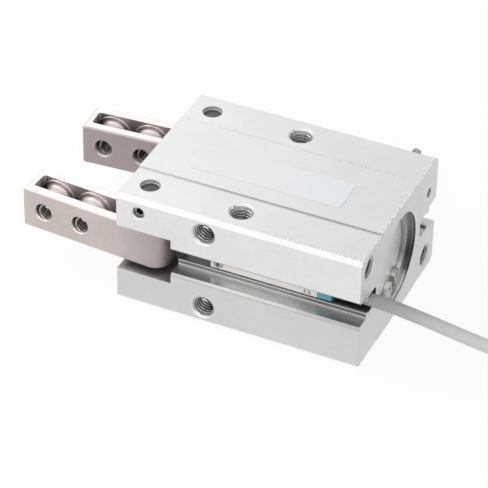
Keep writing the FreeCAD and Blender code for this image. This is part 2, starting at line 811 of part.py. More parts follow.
def make_label():
    low = body_height
    sheet = box(label_front, label_front + label_length, label_near, label_near + label_width, low,
                low + label_thickness)
    corners = [edge for edge in sheet.Edges if abs(edge.tangentAt(0).z) > 0.9]
    sheet = sheet.makeFillet(label_corner, corners)
    sheet.rotate(Vector(label_front, label_near, low), UP, label_turn)
    return sheet


def build_all():
    pieces = {"body": make_body()}
    for name, side in SIDES.items():
        pieces["finger_" + name] = make_finger(side)
        pieces["pivot_pin_" + name] = make_pivot_pin(side)
    pieces["pin_set_screws"] = make_set_screws()
    pieces["drive_head"] = make_drive_head()
    pieces["drive_pins"] = make_drive_pins()
    pieces["piston_rod"] = make_piston_rod()
    pieces["piston"] = make_piston()
    pieces["piston_seal"] = make_piston_seal()
    pieces["piston_magnet"] = make_magnet()
    pieces["piston_nut"] = make_piston_nut()
    pieces["rod_bush"] = make_rod_bush()
    pieces["rod_seal"] = make_rod_seal()
    pieces["front_bumper"] = make_bumper(chamber_front_x)
    pieces["rear_bumper"] = make_bumper(rear_stop_x)
    pieces["rear_cap"] = make_rear_cap()
    pieces["cap_seal"] = make_cap_seal()
    pieces["retaining_ring"] = make_retaining_ring()
    pieces["passage_plug"] = make_passage_plug()
    pieces["hose_nipple"] = make_hose_nipple()
    pieces["nipple_gasket"] = make_nipple_gasket()
    pieces["switch_body"] = make_switch_body()
    pieces["switch_cap"] = make_switch_cap()
    pieces["switch_screw"] = make_switch_screw()
    pieces["switch_lead"] = make_lead()
    pieces["lead_coil"] = make_coil()
    pieces["lead_core_brown"] = make_core(-1)
    pieces["lead_core_blue"] = make_core(1)
    pieces["label"] = make_label()
    return pieces


os.makedirs("parts", exist_ok=True)
for node, shape in build_all().items():
    shape.exportStep("parts/" + node + ".step")
    print(node, "solids", len(shape.Solids), "valid", shape.isValid(), "volume", round(shape.Volume, 2))
print("travel to open", round(travel_open, 3), "to closed", round(travel_closed, 3))
print("ratio", round(drive_ratio, 4))
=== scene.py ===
import json
import math

import bpy
from mathutils import Matrix, Vector


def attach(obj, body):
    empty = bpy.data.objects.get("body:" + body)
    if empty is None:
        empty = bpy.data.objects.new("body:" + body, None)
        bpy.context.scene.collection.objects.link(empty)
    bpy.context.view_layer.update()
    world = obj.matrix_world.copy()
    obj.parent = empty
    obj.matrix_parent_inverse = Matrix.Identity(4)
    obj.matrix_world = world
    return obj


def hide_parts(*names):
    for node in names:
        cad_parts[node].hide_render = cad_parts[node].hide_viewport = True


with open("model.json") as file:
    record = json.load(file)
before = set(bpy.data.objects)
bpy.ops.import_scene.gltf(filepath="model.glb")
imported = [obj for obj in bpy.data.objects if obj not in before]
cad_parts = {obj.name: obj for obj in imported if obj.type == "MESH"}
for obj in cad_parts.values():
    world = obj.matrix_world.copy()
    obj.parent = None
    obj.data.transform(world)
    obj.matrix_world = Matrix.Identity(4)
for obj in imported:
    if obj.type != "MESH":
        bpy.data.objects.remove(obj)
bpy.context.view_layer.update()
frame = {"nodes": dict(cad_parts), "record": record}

NODES = frame["nodes"]
MM = 0.001


def point(x, y, z):
    """A place given in millimetres, in metres."""
    return Vector((x, y, z)) * MM


def way_at(degrees):
    """Level way at this angle."""
    turn = math.radians(degrees)
    return Vector((math.cos(turn), math.sin(turn), 0))


def left_of(way):
    """Level way a quarter turn to the left of this one."""
    return Vector((-way.y, way.x, 0))


# Sizes shared with the construction, in millimetres
BODY_TAIL = 27.5
BODY_SIDE = 21.0
BODY_TOP = 27.3
BODY_BOTTOM = 0.3
BODY_MIDDLE = 13.8
BORE_WALL = 10.65
PIVOT_X = -22.5
PIVOT_Y = 15.15
FINGER_REST = -4.2
FINGER_Z = 14.05
FINGER_HALF = 4.15
FINGER_HOLES = (15.0, 24.0)
SLOT_HALF = 5.6
SLOT_FLOOR_Y = 12.0
SLOT_LIP_Y = 17.2
SLOT_LIP_HALF = 1.7
SLOT_FOOT_HALF = 2.75
LEDGE_HALF = 2.95
LEDGE_BEVEL = 0.5
SWITCH_FACE_Y = -17.0

# Tapped holes: root and crest are radii, mouth is the countersink's radius
M5_THREAD = {"root": 2.45, "crest": 2.08, "pitch": 0.8, "mouth": 2.8}
M4_THREAD = {"root": 1.95, "crest": 1.62, "pitch": 0.7, "mouth": 2.2}
MOUNT_DEPTH = 8.0
PORT_DEPTH = 5.0
TAIL_HOLES = ((-16.4, 23.3), (16.4, 4.3))
FLAT_HOLE_X = -1.65
FLAT_HOLE_Y = 15.2
SIDE_HOLE_X = -7.6
SIDE_HOLE_RISE = 9.4
PORT_X = 15.3
PORT_Z = 7.6
RIDGE_SINK = 0.03
RIDGE_SHARE = 0.172
TURN_STEPS = 28
CONE_STEPS = 48

# Window of the switch's lamp
WINDOW_X = 14.2
WINDOW_Z = 13.15
WINDOW_SIZE = (1.9, 0.16, 0.9)
WINDOW_FRAME = 0.2
WINDOW_DIP = 0.05
LENS_RIM = 0.15
LENS_RISE = 0.06

# Where finishes change, in millimetres
STEP_NEAR_Y = -10.1
STEP_FAR_Y = 10.2
EDGE_NEAR_Y = -19.7
CLEVIS_FLOOR_X = -14.7
MOUTH_WALL_X = 22.8
UNDER_FINGER_TOP = 18.4

# Colours and grains that come back
# Near white, painted on worn edges and as painted highlight lines
WEAR_AND_HIGHLIGHT_WHITE = (0.97, 0.97, 0.97)
# Pale edge colour of the fingers: worn edges and painted highlight
FINGER_WEAR_AND_HIGHLIGHT = (1.0, 0.94, 0.91)
EVEN_GRAIN = (1400, 1400, 1400)
FINE_GRAIN = (900, 900, 900)

# Camera, at the photograph's viewing angle
CAMERA_AZIMUTH = math.radians(23.91)
CAMERA_ELEVATION = math.radians(36.89)
CAMERA_ROLL = math.radians(1.24)
CAMERA_DISTANCE = 585.11
CAMERA_SIDE = -6.89
CAMERA_RISE = 7.43
CAMERA_LENS = 201.15
CAMERA_SENSOR = 36.0


def make_camera():
    back = Vector((math.sin(CAMERA_AZIMUTH) * math.cos(CAMERA_ELEVATION),
                   -math.cos(CAMERA_AZIMUTH) * math.cos(CAMERA_ELEVATION),
                   math.sin(CAMERA_ELEVATION)))
    level = Vector((0, 0, 1)).cross(back).normalized()
    rise = back.cross(level)
    right = level * math.cos(CAMERA_ROLL) + rise * math.sin(CAMERA_ROLL)
    up = rise * math.cos(CAMERA_ROLL) - level * math.sin(CAMERA_ROLL)
    place = (right * CAMERA_SIDE + up * CAMERA_RISE + back * CAMERA_DISTANCE) * MM
    data = bpy.data.cameras.new("camera")
    data.sensor_width = CAMERA_SENSOR
    data.lens = CAMERA_LENS
    data.clip_start = 0.01
    data.clip_end = 20.0
    camera = bpy.data.objects.new("camera", data)
    bpy.context.scene.collection.objects.link(camera)
    turn = Matrix((right, up, back)).transposed()
    camera.matrix_world = Matrix.Translation(place) @ turn.to_4x4()
    bpy.context.scene.camera = camera


# Lead of the switch: the free stretch, then the stored coil on the floor
LEAD_RADIUS = 1.4
COIL_X = 71.0
COIL_Y = 6.45
COIL_TURN = 20.7
COIL_STEP = 2.8
COIL_COLUMNS = 5
COIL_ROWS = 4
COIL_TOP = 9.8
COIL_POINT_EVERY = 15
COIL_EXIT = 20.0
LEAD_TAIL = 12.05
CORE_ASIDE = 0.7
CORE_SPLAY = 5.0
CORE_SLEEVE = 16.5
ROUTE = [
    (19.6, -14.25, 13.8),
    (29.0, -14.25, 13.8),
    (39.0, -14.7, 13.0),
    (49.5, -14.9, 11.4),
    (60.0, -14.9, 10.2)]


def coil_marks():
    """Angle, radius and height where the winding changes: row by row, inwards and outwards by turns."""
    marks = [(-90.0, COIL_TURN, COIL_TOP)]
    radius = COIL_TURN
    height = COIL_TOP

    def reach(sector):
        """Next angle after the last mark that lies at this sector's start."""
        turns = math.ceil((marks[-1][0] - sector) / 360)
        return sector + 360 * turns

    def change(sector, new_radius, new_height):
        """Moves to the new radius and height within 30 degrees of the sector's start."""
        start = reach(sector)
        marks.append((start, radius, height))
        marks.append((start + 30, new_radius, new_height))

    for row in range(COIL_ROWS):
        step = -COIL_STEP if row % 2 == 0 else COIL_STEP
        for column in range(COIL_COLUMNS - 1):
            change(210 - 60 * row, radius + step, height)
            radius += step
        if row < COIL_ROWS - 1:
            change(180 - 60 * row, radius, height - COIL_STEP)
            height -= COIL_STEP
    marks.append((reach(COIL_EXIT), radius, height))
    return marks


def coil_points():
    """Control points of the turns, a little outside them so that the smooth curve keeps its radius."""
    marks = coil_marks()
    swell = 1 / math.cos(math.radians(COIL_POINT_EVERY / 2))
    points = []
    angle = marks[0][0]
    index = 0
    while angle < marks[-1][0]:
        while marks[index + 1][0] <= angle:
            index += 1
        start, end = marks[index], marks[index + 1]
        share = (angle - start[0]) / (end[0] - start[0])
        radius = (start[1] + (end[1] - start[1]) * share) * swell
        height = start[2] + (end[2] - start[2]) * share
        turn = math.radians(angle)
        points.append((COIL_X + radius * math.cos(turn), COIL_Y + radius * math.sin(turn), height))
        angle += COIL_POINT_EVERY
    out = way_at(COIL_EXIT)
    leave = Vector((COIL_X, COIL_Y, marks[-1][2])) + out * COIL_TURN
    for run in (2.0, LEAD_TAIL / 2, LEAD_TAIL):
        points.append(tuple(leave + left_of(out) * run))
    return points


def make_lead():
    points = ROUTE + coil_points()
    curve = bpy.data.curves.new("lead", "CURVE")
    curve.dimensions = "3D"
    spline = curve.splines.new("NURBS")
    spline.points.add(len(points) - 1)
    for control, place in zip(spline.points, points):
        control.co = (*point(*place), 1.0)
        control.radius = LEAD_RADIUS * MM
    spline.order_u = 3
    spline.use_endpoint_u = True
    spline.resolution_u = 4
    curve.bevel_depth = 1.0
    curve.bevel_resolution = 5
    curve.use_fill_caps = True
    lead = bpy.data.objects.new("lead", curve)
    bpy.context.scene.collection.objects.link(lead)
    return lead


make_camera()
lead = make_lead()
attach(lead, "housing")
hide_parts("switch_lead", "lead_coil")


# Small tools for building shader nodes


def add(tree, kind, inputs=None, **settings):
    """A shader node with its settings; an input takes a value or another node's socket."""
    node = tree.nodes.new("ShaderNode" + kind)
    for name, value in settings.items():
        setattr(node, name, value)
    for name, value in (inputs or {}).items():
        if isinstance(value, bpy.types.NodeSocket):
            tree.links.new(value, node.inputs[name])
        else:
            node.inputs[name].default_value = value
    return node


def calc(tree, operation, first, second=0.0):
    return add(tree, "Math", {0: first, 1: second}, operation=operation).outputs[0]


def times(tree, first, *others):
    """Product of all the values or masks."""
    for other in others:
        first = calc(tree, "MULTIPLY", first, other)
    return first


def plus(tree, first, second):
    return calc(tree, "ADD", first, second)


def minus(tree, first, second):
    return calc(tree, "SUBTRACT", first, second)


def larger(tree, first, second):
    return calc(tree, "MAXIMUM", first, second)


def unsigned(tree, value):
    return calc(tree, "ABSOLUTE", value)


def ranged(tree, value, low, high, to_low=0.0, to_high=1.0):
    """Value from low to high, spread over to_low to to_high and held there beyond."""
    inputs = {"Value": value, "From Min": low, "From Max": high, "To Min": to_low, "To Max": to_high}
    return add(tree, "MapRange", inputs, clamp=True).outputs[0]


def ranged_mm(tree, value, low, high, to_low=0.0, to_high=1.0):
    """The same for a place or distance, with low and high in millimetres."""
    return ranged(tree, value, low * MM, high * MM, to_low, to_high)


def line_mask(tree, value, centre, half, soft):
    """1 within half of centre, fading over soft, all in millimetres."""
    apart = unsigned(tree, minus(tree, value, centre * MM))
    return ranged_mm(tree, apart, half + soft, half)


def split(tree, vector):
    """X, Y and Z of a place or normal."""
    return add(tree, "SeparateXYZ", {0: vector}).outputs


def face_normal(tree):
    """X, Y and Z of the flat normal."""
    return split(tree, add(tree, "NewGeometry").outputs["True Normal"])


def off_middle(tree, axes):
    """Distance above or below the body's middle height."""
    return unsigned(tree, minus(tree, axes[2], BODY_MIDDLE * MM))


def scaled(tree, place, stretch):
    return add(tree, "VectorMath", {0: place, 1: stretch}, operation="MULTIPLY").outputs[0]


def noise(tree, place, detail=3.0, roughness=0.55):
    inputs = {"Vector": place, "Scale": 1.0, "Detail": detail, "Roughness": roughness}
    return add(tree, "TexNoise", inputs).outputs[0]


def rgba(colour):
    return (*colour, 1.0)


def blended(tree, share, first, second):
    """First colour at share 0, second at share 1."""
    return add(tree, "Mix", {0: share, 6: first, 7: second}, data_type="RGBA").outputs[2]


def mottled(tree, pattern, low, high, dark, light):
    """Dark colour where the pattern is at low, light colour where it is at high."""
    return blended(tree, ranged(tree, pattern, low, high), rgba(dark), rgba(light))


def painted(tree, colour, mask, paint, strength=1.0):
    """The colour with this paint over it where the mask is 1."""
    return blended(tree, times(tree, mask, strength), colour, rgba(paint))


def toned(tree, colour, tone):
    grey = add(tree, "CombineColor", {0: tone, 1: tone, 2: tone}).outputs[0]
    inputs = {0: 1.0, 6: colour, 7: grey}
    return add(tree, "Mix", inputs, data_type="RGBA", blend_type="MULTIPLY").outputs[2]


def toned_where(tree, colour, mask, tone):
    """The colour, down to this share of it where the mask is 1."""
    return toned(tree, colour, ranged(tree, mask, 0.0, 1.0, 1.0, tone))


def shaded(tree, colour, shade, floor_tone):
    """The colour as it is in the open, down to floor_tone of it in recesses."""
    return toned(tree, colour, ranged(tree, shade, 0.0, 1.0, floor_tone, 1.0))


# Node groups that several materials share


def new_group(name, inputs, outputs):
    """An empty node group: inputs as name, socket kind and first value, outputs as name and socket kind."""
    group = bpy.data.node_groups.new(name, "ShaderNodeTree")
    for label, kind, value in inputs:
        socket = group.interface.new_socket(label, in_out="INPUT", socket_type="NodeSocket" + kind)
        socket.default_value = value
    for label, kind in outputs:
        group.interface.new_socket(label, in_out="OUTPUT", socket_type="NodeSocket" + kind)
    taken = group.nodes.new("NodeGroupInput")
    given = group.nodes.new("NodeGroupOutput")
    return group, taken.outputs, given.inputs


def use_group(tree, group, **inputs):
    node = tree.nodes.new("ShaderNodeGroup")
    node.node_tree = group
    for name, value in inputs.items():
        if isinstance(value, bpy.types.NodeSocket):
            tree.links.new(value, node.inputs[name])
        else:
            node.inputs[name].default_value = value
    return node.outputs


def make_marks_group():
    """Tool marks: streaks drawn out along the least stretched axis, broad cloudy patches and fine specks."""
    group, taken, given = new_group(
        "tool_marks",
        [("Place", "Vector", (0, 0, 0)), ("Stretch", "Vector", (200, 4000, 4000))],
        [("Streaks", "Float"), ("Patches", "Float"), ("Specks", "Float")])
    drawn = scaled(group, taken["Place"], taken["Stretch"])
    group.links.new(noise(group, drawn, 4.0, 0.6), given["Streaks"])
    broad = noise(group, scaled(group, taken["Place"], (120, 120, 120)))
    group.links.new(broad, given["Patches"])
    fine = noise(group, scaled(group, taken["Place"], (2600, 2600, 2600)), 2.0)
    group.links.new(ranged(group, fine, 0.35, 0.7), given["Specks"])
    return group


def make_edge_group():
    """Edge mask for rubbed wear and painted edge highlights, 1 on an outer edge and 0 on flat and round
    faces, and the normal rounded there.
    """
    group, taken, given = new_group(
        "edge_wear_and_highlight",
        [("Place", "Vector", (0, 0, 0)), ("Width", "Float", 0.0002)],
        [("Edge", "Float"), ("Rounded", "Vector")])
    bent = add(group, "Bevel", {"Radius": taken["Width"]}, samples=6).outputs[0]
    group.links.new(bent, given["Rounded"])
    true = add(group, "NewGeometry").outputs["True Normal"]
    same = add(group, "VectorMath", {0: bent, 1: true}, operation="DOT_PRODUCT").outputs["Value"]
    edge = ranged(group, minus(group, 1.0, same), 0.02, 0.16)
    worn = noise(group, scaled(group, taken["Place"], (900, 900, 900)), 2.0)
    broken = ranged(group, worn, 0.3, 0.6, 0.45, 1.0)
    group.links.new(times(group, edge, broken), given["Edge"])
    return group


def make_shade_group():
    """Painted shade in recesses of the piece alone, and of all: 1 in the open, 0 deep in a hole or slot."""
    group, taken, given = new_group(
        "recess_shade",
        [("Reach", "Float", 0.004), ("Deep", "Float", 0.15), ("Open", "Float", 0.85)],
        [("Own", "Float"), ("All", "Float")])
    for label, own in (("Own", True), ("All", False)):
        inputs = {"Distance": taken["Reach"]}
        air = add(group, "AmbientOcclusion", inputs, samples=8, only_local=own).outputs["AO"]
        group.links.new(ranged(group, air, taken["Deep"], taken["Open"]), given[label])
    return group


TOOL_MARKS = make_marks_group()
EDGE_WEAR_AND_HIGHLIGHT = make_edge_group()
RECESS_SHADE = make_shade_group()


def tool_marks(tree, place, stretch):
    return use_group(tree, TOOL_MARKS, Place=place, Stretch=stretch)


def edge_wear_and_highlight(tree, place, width):
    """Mask of edges this wide in millimetres, for wear and painted highlight, and the normal rounded there.
    """
    made = use_group(tree, EDGE_WEAR_AND_HIGHLIGHT, Place=place, Width=width * MM)
    return made["Edge"], made["Rounded"]


def recess_shade(tree, reach, deep, open_air, kind="All"):
    """1 in the open, less in recesses; reach in millimetres."""
    return use_group(tree, RECESS_SHADE, Reach=reach * MM, Deep=deep, Open=open_air)[kind]


# Finishes


def new_material(name):
    material = bpy.data.materials.new(name)
    material.use_nodes = True
    tree = material.node_tree
    shader = tree.nodes["Principled BSDF"]
    place = add(tree, "TexCoord").outputs["Object"]
    return material, tree, shader, place


def feed(tree, shader, colour, roughness, height, depth, strength=0.5, rounded=None):
    """Joins colour, roughness and relief to the shader; depth of the relief in millimetres."""
    tree.links.new(colour, shader.inputs["Base Color"])
    tree.links.new(roughness, shader.inputs["Roughness"])
    bump = add(tree, "Bump", {"Height": height, "Distance": depth * MM, "Strength": strength})
    if rounded is not None:
        tree.links.new(rounded, bump.inputs["Normal"])
    tree.links.new(bump.outputs[0], shader.inputs["Normal"])


def mixed_marks(tree, marks, share):
    """Streaks and patches together, with this share of streaks."""
    return plus(tree, times(tree, marks["Streaks"], share), times(tree, marks["Patches"], 1 - share))


def satin(tree, pattern, rough):
    """Roughness about this value, a little uneven with the pattern."""
    return ranged(tree, pattern, 0.3, 0.7, rough - 0.06, rough + 0.08)


def metal(name, light, dark, rough, stretch, depth=0.01, edge_width=0.18, edge_colour=None, deep_tone=0.5):
    """Machined or plated metal with tool marks along one way, cloudy patches, edges painted light as wear
    and painted highlight, and painted shade in recesses.
    """
    material, tree, shader, place = new_material(name)
    marks = tool_marks(tree, place, stretch)
    edge, rounded = edge_wear_and_highlight(tree, place, edge_width)
    colour = mottled(tree, mixed_marks(tree, marks, 0.6), 0.35, 0.62, dark, light)
    # edges painted light: wear and painted highlight
    colour = painted(tree, colour, edge, edge_colour or light, 0.7)
    # painted shade in recesses, down to deep_tone
    colour = shaded(tree, colour, recess_shade(tree, 2.0, 0.15, 0.85), deep_tone)
    roughness = satin(tree, marks["Streaks"], rough)
    roughness = minus(tree, roughness, times(tree, edge, 0.08))
    feed(tree, shader, colour, roughness, marks["Streaks"], depth, rounded=rounded)
    shader.inputs["Metallic"].default_value = 1.0
    return material


def thread_material(name, light, dark, rough, edge_width, reach, crest_highlight, tail_hole_shade=1.0):
    """Cut thread: painted shade between the turns, a painted highlight on its crests, and painted shade in
    the tail's holes that deepens inwards.
    """
    material, tree, shader, place = new_material(name)
    marks = tool_marks(tree, place, EVEN_GRAIN)
    edge, rounded = edge_wear_and_highlight(tree, place, edge_width)
    colour = mottled(tree, mixed_marks(tree, marks, 0.6), 0.35, 0.62, dark, light)
    # edges painted light: wear and painted highlight
    colour = painted(tree, colour, edge, light, 0.7)
    # painted shade between the turns
    shade = calc(tree, "POWER", recess_shade(tree, reach, 0.2, 0.95), 2.2)
    colour = shaded(tree, colour, shade, 0.02)
    # painted highlight on the crests, over the painted shade
    colour = painted(tree, colour, edge, light, crest_highlight)
    # painted shade in the tail's holes, darkest from 1.1 mm in from the mouth
    along = split(tree, place)[0]
    tail_hole_end = BODY_TAIL - MOUNT_DEPTH
    before_tail = ranged_mm(tree, along, tail_hole_end + 0.1, tail_hole_end)
    near_mouth = ranged_mm(tree, along, BODY_TAIL - 1.1, BODY_TAIL - 0.2, tail_hole_shade, 1.0)
    colour = toned(tree, colour, larger(tree, before_tail, near_mouth))
    roughness = satin(tree, marks["Streaks"], rough)
    roughness = minus(tree, roughness, times(tree, edge, 0.08))
    feed(tree, shader, colour, roughness, marks["Streaks"], 0.01, rounded=rounded)
    shader.inputs["Metallic"].default_value = 1.0
    return material


def plastic(name, light, dark, rough, coat=0.0):
    """Moulded plastic or rubber with a fine grain and slightly uneven colour."""
    material, tree, shader, place = new_material(name)
    marks = tool_marks(tree, place, FINE_GRAIN)
    edge = edge_wear_and_highlight(tree, place, 0.12)[0]
    colour = mottled(tree, marks["Patches"], 0.3, 0.7, dark, light)
    # edges painted a little paler: wear and painted highlight
    paler = tuple(0.75 * channel + 0.25 for channel in light)
    colour = painted(tree, colour, edge, paler, 0.25)
    roughness = ranged(tree, marks["Specks"], 0.0, 1.0, rough - 0.05, rough + 0.08)
    feed(tree, shader, colour, roughness, marks["Specks"], 0.01, 0.3)
    shader.inputs["Coat Weight"].default_value = coat
    return material


def distance_from_bore(tree, place):
    middle = point(0, 0, BODY_MIDDLE)
    centred = add(tree, "VectorMath", {0: place, 1: middle}, operation="SUBTRACT").outputs[0]
    flat = scaled(tree, centred, (0, 1, 1))
    return add(tree, "VectorMath", {0: flat}, operation="LENGTH").outputs["Value"]


def band_lines(tree, place, axes):
    """Masks of the painted shade line along the near step, and of the burrs at the far step and edges,
    painted dark as their shade and bright as their glints.
    """
    ragged = noise(tree, scaled(tree, place, (2600, 2100, 1500)), 3.0, 0.7)
    wide_face = ranged_mm(tree, off_middle(tree, axes), 12.8, 13.2)
    near = line_mask(tree, axes[1], STEP_NEAR_Y, 0.06, 0.06)
    near = times(tree, near, ranged_mm(tree, axes[0], -20.0, 0.0, 0.45, 1.0), wide_face)
    far_step = line_mask(tree, axes[1], STEP_FAR_Y, 0.16, 0.3)
    near_edge = line_mask(tree, axes[1], EDGE_NEAR_Y, 0.15, 0.45)
    near_edge = times(tree, near_edge, ranged_mm(tree, axes[0], -4.0, 8.0))
    tail_edge = ranged_mm(tree, axes[0], 26.6, 27.1, 0.0, 0.8)
    rough = larger(tree, larger(tree, far_step, near_edge), tail_edge)
    rough = times(tree, rough, wide_face)
    shaded_burr = times(tree, rough, ranged(tree, ragged, 0.5, 0.42))
    glinting_burr = times(tree, rough, ranged(tree, ragged, 0.52, 0.58))
    return near, shaded_burr, glinting_burr


def lip_highlight_lines(tree, axes):
    """Mask of the painted highlight, a double line along the inner lips of the switch slots."""
    out = unsigned(tree, minus(tree, unsigned(tree, axes[1]), SLOT_LIP_Y * MM))
    level = off_middle(tree, axes)
    lines = []
    for edge, half in ((SLOT_LIP_HALF, 0.1), (SLOT_FOOT_HALF, 0.08)):
        up = unsigned(tree, minus(tree, level, edge * MM))
        lines.append(ranged_mm(tree, larger(tree, out, up), half + 0.06, half))
    return larger(tree, *lines)


def slot_mask(tree, axes, normal):
    """Floors, lips and walls of the switch slots, without the ends of the body."""
    beside = unsigned(tree, axes[1])
    between = ranged_mm(tree, off_middle(tree, axes), SLOT_HALF + 0.05, SLOT_HALF)
    outwards = ranged_mm(tree, beside, SLOT_FLOOR_Y - 0.05, SLOT_FLOOR_Y)
    inwards = ranged_mm(tree, beside, BODY_SIDE - 0.04, BODY_SIDE - 0.1)
    no_end = ranged(tree, unsigned(tree, normal[0]), 0.6, 0.4)
    return times(tree, between, outwards, inwards, no_end)


def slot_colour(tree, place, axes):
    """Brushed slot: darker on the lip faces, darker towards the front and tailwards of x 9 mm, painted shade
    in the near slot's groove.
    """
    brushed = tool_marks(tree, place, (90, 4200, 4200))["Streaks"]
    colour = mottled(tree, brushed, 0.36, 0.62, (0.61, 0.605, 0.60), (0.72, 0.715, 0.71))
    lip_face = line_mask(tree, unsigned(tree, axes[1]), SLOT_LIP_Y, 0.06, 0.03)
    colour = toned_where(tree, colour, lip_face, 0.45)
    # darker towards the front, and darker tailwards of x 9 mm
    colour = toned(tree, colour, ranged_mm(tree, axes[0], -17.0, -2.0, 0.8, 1.15))
    colour = toned(tree, colour, ranged_mm(tree, axes[0], 9.0, 16.0, 1.0, 0.72))
    # painted shade in the near slot's groove, lighter at its front end and a little lighter under the lead
    near_side = ranged_mm(tree, axes[1], -1.0, -2.0)
    groove = times(tree, ranged_mm(tree, axes[1], -17.0, -16.6), near_side)
    under_lead = ranged_mm(tree, axes[0], 18.5, 19.5, 0.0, 0.16)
    tone = plus(tree, ranged_mm(tree, axes[0], -9.0, -6.0, 0.9, 0.24), under_lead)
    return blended(tree, groove, colour, toned(tree, colour, tone))


def bore_light_and_shade(tree, height):
    """Painted light and shade on the turned metal at the bore's mouth: a pale painted reflection below,
    painted shade low on the sides.
    """
    share = calc(tree, "DIVIDE", minus(tree, height, BODY_MIDDLE * MM), BORE_WALL * MM)
    below = ranged(tree, share, -0.92, -0.68, 1.0, 0.12)
    sides = ranged(tree, share, -0.45, 0.15, 0.12, 0.5)
    above = ranged(tree, share, 0.15, 1.0, 0.0, 0.15)
    return larger(tree, below, plus(tree, sides, above))


def bore_mask(tree, axes, out):
    """Turned wall of the bore, up to its mouth and no further forward than the clevis."""
    within = ranged_mm(tree, out, 11.5, 11.45)
    mouth = ranged_mm(tree, axes[0], BODY_TAIL - 0.04, BODY_TAIL - 0.1)
    clevis = ranged_mm(tree, axes[0], CLEVIS_FLOOR_X - 0.1, CLEVIS_FLOOR_X)
    return times(tree, within, mouth, clevis)


def mouth_wall(tree, axes):
    """The stretch of the bore's wall that is seen in its mouth."""
    return ranged_mm(tree, axes[0], MOUTH_WALL_X, MOUTH_WALL_X + 0.2)


def bore_colour(tree, place, axes):
    """Turned wall of the bore: painted light and shade by height, painted glints low down, with two dark
    lines round it.
    """
    turned = noise(tree, scaled(tree, place, (5200, 30, 30)), 2.0)
    colour = mottled(tree, turned, 0.4, 0.6, (0.66, 0.65, 0.63), (0.92, 0.91, 0.89))
    colour = toned(tree, colour, bore_light_and_shade(tree, axes[2]))
    # painted glints on the low wall near the mouth
    sparks = noise(tree, scaled(tree, place, (3000, 260, 260)), 2.0)
    glint = toned(tree, rgba((1.0, 0.99, 0.97)), ranged(tree, sparks, 0.42, 0.52, 0.5, 1.0))
    low = ranged_mm(tree, axes[2], 6.2, 3.6)
    colour = blended(tree, times(tree, low, mouth_wall(tree, axes)), colour, glint)
    # two dark lines round the wall
    mouth_line = line_mask(tree, axes[0], 26.88, 0.1, 0.1)
    colour = toned_where(tree, colour, mouth_line, 0.4)
    inner_line = line_mask(tree, axes[0], 26.1, 0.08, 0.12)
    return toned_where(tree, colour, inner_line, 0.6)


def slot_bevel_tone(tree, colour, axes):
    """The bevel along the slots' outer edges is darker than the faces beside it, most at its outer edge."""
    level = off_middle(tree, axes)
    start = BODY_SIDE - LEDGE_BEVEL
    end = LEDGE_HALF + LEDGE_BEVEL
    outer = ranged_mm(tree, unsigned(tree, axes[1]), start - 0.04, start)
    inside_end = ranged_mm(tree, level, end + 0.15, end + 0.05)
    bevel = times(tree, outer, inside_end, ranged_mm(tree, level, LEDGE_HALF, LEDGE_HALF + 0.1))
    colour = toned_where(tree, colour, bevel, 0.74)
    outer_edge = times(tree, line_mask(tree, level, end + 0.02, 0.06, 0.05), bevel)
    return toned_where(tree, colour, outer_edge, 0.75)


